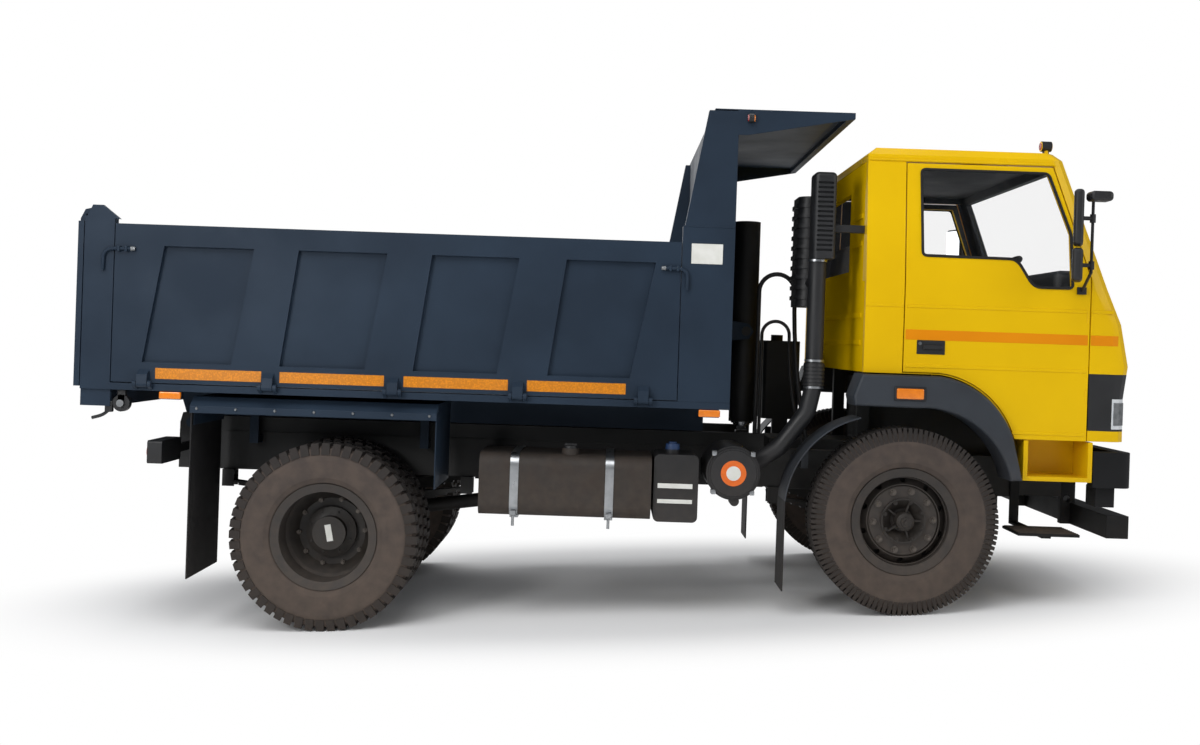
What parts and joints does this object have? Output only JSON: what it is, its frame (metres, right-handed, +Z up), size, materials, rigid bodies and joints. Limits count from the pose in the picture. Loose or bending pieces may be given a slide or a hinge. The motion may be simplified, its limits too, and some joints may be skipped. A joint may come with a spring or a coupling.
{
  "type": "dump truck",
  "caption": "Rear-tipping truck with a flat-fronted cab over the engine, a drop-side steel bed with a canopy, a telescopic front hoist and twin rear wheels.",
  "frame": {"origin": "on the ground, in the middle of the length and width", "axes": "+X forward, +Y to the truck's left, +Z up"},
  "size_m": [5.712, 2.57, 2.7629],
  "materials": {
    "black_frame_paint": "satin",
    "slate_body_paint": "satin",
    "yellow_cab_paint": "gloss",
    "engine_iron": "cast",
    "tyre": "dusty",
    "rim_steel": "dusty",
    "hoist_rod_steel": "ground",
    "black_plastic": "matte",
    "rubber": "matte",
    "lamp_clear": "clear",
    "lamp_red": "gloss",
    "seat_cloth": "woven",
    "window_glass": "clear"
  },
  "bodies": {
    "chassis": {"chassis_frame": "black_frame_paint", "leaf_springs": "black_frame_paint", "front_bumper": "black_frame_paint", "engine_block": "engine_iron", "rear_axle": "black_frame_paint", "propeller_shaft": "black_frame_paint", "front_axle": "black_frame_paint", "fuel_tank": "black_plastic", "tank_brackets": "black_frame_paint", "additive_tank": "black_plastic", "air_cleaner": "black_plastic", "air_intake": "black_plastic", "rear_mudguards": "black_plastic", "wheel_arches": "black_plastic", "mud_flaps": "rubber", "tail_lamps": "lamp_red", "battery_box": "black_frame_paint", "air_reservoirs": "black_frame_paint", "silencer": "black_frame_paint", "hydraulic_tank": "black_frame_paint", "cab_floor": "yellow_cab_paint", "cab_rear_wall": "yellow_cab_paint", "cab_roof": "yellow_cab_paint", "cab_front": "yellow_cab_paint", "grille": "black_plastic", "headlamps": "lamp_clear", "cab_sides": "yellow_cab_paint", "cab_glass": "window_glass", "dashboard": "black_plastic", "seats": "seat_cloth"},
    "bed": {"bed_frame": "slate_body_paint", "headboard": "slate_body_paint"},
    "side_left": {"side_board_left": "slate_body_paint"},
    "side_right": {"side_board_right": "slate_body_paint"},
    "gate": {"tailgate": "slate_body_paint"},
    "door_left": {"door_left": "yellow_cab_paint", "door_glass_left": "window_glass", "mirrors_left": "black_plastic"},
    "door_right": {"door_right": "yellow_cab_paint", "door_glass_right": "window_glass", "mirrors_right": "black_plastic"},
    "steering_wheel": {"steering_wheel": "black_plastic"},
    "knuckle_left": {"knuckle_left": "black_frame_paint"},
    "knuckle_right": {"knuckle_right": "black_frame_paint"},
    "track_rod": {"track_rod": "black_frame_paint"},
    "wheel_front_left": {"front_tyre_left": "tyre", "front_rim_left": "rim_steel"},
    "wheel_front_right": {"front_tyre_right": "tyre", "front_rim_right": "rim_steel"},
    "wheels_rear_left": {"rear_tyres_left": "tyre", "rear_rims_left": "rim_steel"},
    "wheels_rear_right": {"rear_tyres_right": "tyre", "rear_rims_right": "rim_steel"},
    "hoist_barrel": {"hoist_barrel": "black_frame_paint"},
    "hoist_stage_1": {"hoist_stage_1": "hoist_rod_steel"},
    "hoist_stage_2": {"hoist_stage_2": "hoist_rod_steel"},
    "hoist_stage_3": {"hoist_stage_3": "hoist_rod_steel"}
  },
  "joints": [
    {"name": "bed_tip", "type": "hinge", "parent": "chassis", "child": "bed", "pos_m": [-2.44511, 0, 1.11518], "axis": [0, -1, 0], "range_deg": [0, 48]},
    {"name": "hoist_swing", "type": "hinge", "parent": "bed", "child": "hoist_barrel", "pos_m": [0.86655, 0, 1.56758], "axis": [0, 1, 0], "range_deg": [0, 19.4]},
    {"name": "hoist_stage_1", "type": "slide", "parent": "hoist_barrel", "child": "hoist_stage_1", "axis": [-0.0593, 0, -0.9982], "range_m": [0, 0.876]},
    {"name": "hoist_stage_2", "type": "slide", "parent": "hoist_stage_1", "child": "hoist_stage_2", "axis": [-0.0593, 0, -0.9982], "range_m": [0, 0.876]},
    {"name": "hoist_stage_3", "type": "slide", "parent": "hoist_stage_2", "child": "hoist_stage_3", "axis": [-0.0593, 0, -0.9982], "range_m": [0, 0.876]},
    {"name": "side_left", "type": "hinge", "parent": "bed", "child": "side_left", "pos_m": [-1.50204, 1.125, 1.30759], "axis": [-0.9982, 0, 0.0593], "range_deg": [0, 175]},
    {"name": "side_right", "type": "hinge", "parent": "bed", "child": "side_right", "pos_m": [-1.50204, -1.125, 1.30759], "axis": [0.9982, 0, -0.0593], "range_deg": [0, 175]},
    {"name": "tailgate", "type": "hinge", "parent": "bed", "child": "gate", "pos_m": [-2.6985, 0, 2.31332], "axis": [0, 1, 0], "range_deg": [0, 95]},
    {"name": "door_left", "type": "hinge", "parent": "chassis", "child": "door_left", "pos_m": [2.62961, 1.036, 1.75234], "axis": [-0.0593, 0, -0.9982], "range_deg": [0, 70]},
    {"name": "door_right", "type": "hinge", "parent": "chassis", "child": "door_right", "pos_m": [2.62961, -1.036, 1.75234], "axis": [0.0593, 0, 0.9982], "range_deg": [0, 70]},
    {"name": "steer_left", "type": "hinge", "parent": "chassis", "child": "knuckle_left", "pos_m": [1.60051, 0.79, 0.509], "axis": [0.0593, 0, 0.9982], "range_deg": [-35, 35]},
    {"name": "steer_right", "type": "hinge", "parent": "chassis", "child": "knuckle_right", "pos_m": [1.60051, -0.79, 0.509], "axis": [0.0593, 0, 0.9982], "range_deg": [-35, 35]},
    {"name": "track_rod", "type": "hinge", "parent": "knuckle_left", "child": "track_rod", "pos_m": [1.4146, 0.75, 0.41486], "axis": [0.0593, 0, 0.9982], "range_deg": [-35, 35]},
    {"name": "steering_wheel", "type": "hinge", "parent": "chassis", "child": "steering_wheel", "pos_m": [2.23652, -0.48, 1.84682], "axis": [-0.4787, 0, 0.878], "range_deg": [-630, 630]},
    {"name": "spin_front_left", "type": "hinge", "parent": "knuckle_left", "child": "wheel_front_left", "pos_m": [1.60051, 0.922, 0.509], "axis": [0, 1, 0], "continuous": true},
    {"name": "spin_front_right", "type": "hinge", "parent": "knuckle_right", "child": "wheel_front_right", "pos_m": [1.60051, -0.922, 0.509], "axis": [0, 1, 0], "continuous": true},
    {"name": "spin_rear_left", "type": "hinge", "parent": "chassis", "child": "wheels_rear_left", "pos_m": [-1.54949, 0.797, 0.509], "axis": [0, 1, 0], "continuous": true},
    {"name": "spin_rear_right", "type": "hinge", "parent": "chassis", "child": "wheels_rear_right", "pos_m": [-1.54949, -0.797, 0.509], "axis": [0, 1, 0], "continuous": true}
  ],
  "couplings": [
    {"joint": "hoist_swing", "follows": "bed_tip", "ratio": 0.40229},
    {"joint": "hoist_stage_1", "follows": "bed_tip", "m_per_rad": 1.0437},
    {"joint": "hoist_stage_2", "follows": "bed_tip", "m_per_rad": 1.0437},
    {"joint": "hoist_stage_3", "follows": "bed_tip", "m_per_rad": 1.0437},
    {"joint": "steer_right", "follows": "steer_left", "ratio": 1},
    {"joint": "track_rod", "follows": "steer_left", "ratio": -1},
    {"joint": "steering_wheel", "follows": "steer_left", "ratio": 18}
  ]
}
